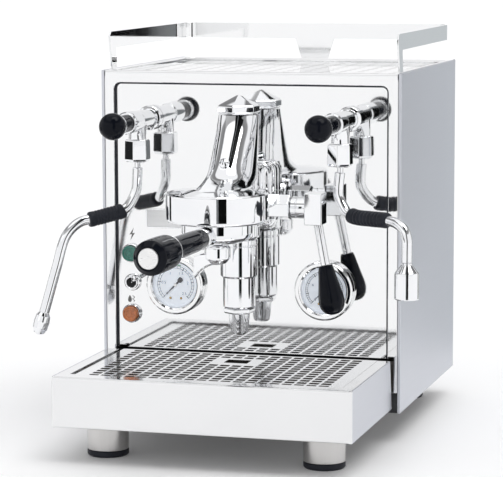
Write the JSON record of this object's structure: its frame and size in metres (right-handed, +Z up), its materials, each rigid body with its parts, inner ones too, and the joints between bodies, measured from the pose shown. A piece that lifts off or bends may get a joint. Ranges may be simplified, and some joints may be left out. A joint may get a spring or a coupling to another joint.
{
  "type": "espresso machine",
  "caption": "Mirror-polished espresso machine with a lever brew group, steam and hot-water wands, pressure gauges, drip tray and railed cup tray.",
  "frame": {"origin": "bottom centre of the whole machine's bounding box, on the counter between the feet", "axes": "+X to the right seen from the front, +Y from the portafilter handle towards the back panel, +Z up; the brew group faces -Y"},
  "size_m": [0.3734, 0.5592, 0.392],
  "materials": {
    "mirror_steel": "mirror-polished stainless steel",
    "chrome": "polished chrome on brass",
    "satin_steel": "satin stainless steel",
    "dark_steel": "grey powder coat",
    "copper": "dull copper",
    "black_gloss": "glossy black",
    "rubber": "matt black rubber",
    "black_plastic": "matt black",
    "tank_plastic": "clear-grey plastic",
    "green_lens": "translucent green",
    "orange_lens": "translucent orange"
  },
  "bodies": {
    "cabinet": {"front_frame": "mirror_steel", "front_panel": "mirror_steel", "top_frame": "mirror_steel", "cup_rail": "mirror_steel", "boiler_gauge": "mirror_steel", "pump_gauge": "mirror_steel", "foot_sleeve_1": "chrome", "foot_sleeve_2": "chrome", "foot_sleeve_3": "chrome", "foot_sleeve_4": "chrome", "group_body": "chrome", "group_cap": "chrome", "cover_screw": "chrome", "lower_valve": "chrome", "drain_tip": "chrome", "shower_screen": "chrome", "lever_nut": "chrome", "steam_valve": "chrome", "water_valve": "chrome", "steam_wand_nut": "chrome", "water_wand_nut": "chrome", "switch_bush": "chrome", "left_side_panel": "satin_steel", "right_side_panel": "satin_steel", "back_panel": "satin_steel", "badge": "satin_steel", "base_frame": "dark_steel", "boiler": "copper", "foot_pad_1": "rubber", "foot_pad_2": "rubber", "foot_pad_3": "rubber", "foot_pad_4": "rubber", "pump": "black_plastic", "control_box": "black_plastic", "power_inlet": "black_plastic", "water_tank": "tank_plastic", "power_lamp": "green_lens", "heating_lamp": "orange_lens"},
    "lever": {"lever_hub": "chrome", "lever_rod": "chrome", "lever_grip": "black_gloss"},
    "portafilter": {"portafilter_body": "chrome", "filter_basket": "chrome", "portafilter_handle": "black_gloss", "handle_cap": "satin_steel", "spout": "chrome"},
    "steam_knob": {"steam_knob": "black_gloss"},
    "water_knob": {"water_knob": "black_gloss"},
    "steam_wand": {"steam_wand": "chrome", "steam_grip": "rubber", "steam_tip": "chrome"},
    "water_wand": {"water_wand": "chrome", "water_grip": "rubber", "water_nozzle": "chrome"},
    "boiler_needle": {"boiler_needle": "black_plastic"},
    "pump_needle": {"pump_needle": "black_plastic"},
    "switch_lever": {"switch_lever": "chrome"},
    "drip_tray": {"drip_tray": "mirror_steel"},
    "drip_grid": {"drip_grid": "satin_steel"},
    "cup_tray": {"cup_tray": "mirror_steel"}
  },
  "joints": [
    {"name": "lever_swing", "type": "hinge", "parent": "cabinet", "child": "lever", "pos_m": [0.07512, -0.02228, 0.2295], "axis": [-1, 0, 0], "range_deg": [0, 110]},
    {"name": "portafilter_turn", "type": "hinge", "parent": "cabinet", "child": "portafilter", "pos_m": [0.00012, -0.09428, 0.22], "axis": [0, 0, 1], "range_deg": [-45, 0]},
    {"name": "steam_knob_turn", "type": "hinge", "parent": "cabinet", "child": "steam_knob", "pos_m": [-0.09988, -0.08628, 0.309], "axis": [0, -1, 0], "range_deg": [0, 540]},
    {"name": "water_knob_turn", "type": "hinge", "parent": "cabinet", "child": "water_knob", "pos_m": [0.10012, -0.09628, 0.3115], "axis": [0, -1, 0], "range_deg": [-360, 180]},
    {"name": "steam_wand_swivel", "type": "hinge", "parent": "cabinet", "child": "steam_wand", "pos_m": [-0.09988, -0.02628, 0.268], "axis": [0, 0, 1], "range_deg": [-35, 60]},
    {"name": "water_wand_swivel", "type": "hinge", "parent": "cabinet", "child": "water_wand", "pos_m": [0.10012, -0.02628, 0.268], "axis": [0, 0, 1], "range_deg": [-60, 33]},
    {"name": "boiler_needle_turn", "type": "hinge", "parent": "cabinet", "child": "boiler_needle", "pos_m": [-0.07488, 0.01172, 0.1455], "axis": [0, 1, 0], "range_deg": [0, 270], "stiffness_Nm_per_rad": 0.001},
    {"name": "pump_needle_turn", "type": "hinge", "parent": "cabinet", "child": "pump_needle", "pos_m": [0.07512, 0.01172, 0.1455], "axis": [0, 1, 0], "range_deg": [0, 270], "stiffness_Nm_per_rad": 0.001},
    {"name": "switch_flip", "type": "hinge", "parent": "cabinet", "child": "switch_lever", "pos_m": [-0.12038, 0.01272, 0.146], "axis": [0.6925, 0, -0.7214], "range_deg": [0, 80]},
    {"name": "drip_tray_slide", "type": "slide", "parent": "cabinet", "child": "drip_tray", "axis": [0, -1, 0], "range_m": [0, 0.16]},
    {"name": "drip_grid_lift", "type": "slide", "parent": "drip_tray", "child": "drip_grid", "axis": [0, 0, 1], "range_m": [0, 0.02]},
    {"name": "cup_tray_lift", "type": "slide", "parent": "cabinet", "child": "cup_tray", "axis": [0, 0, 1], "range_m": [0, 0.035]}
  ]
}
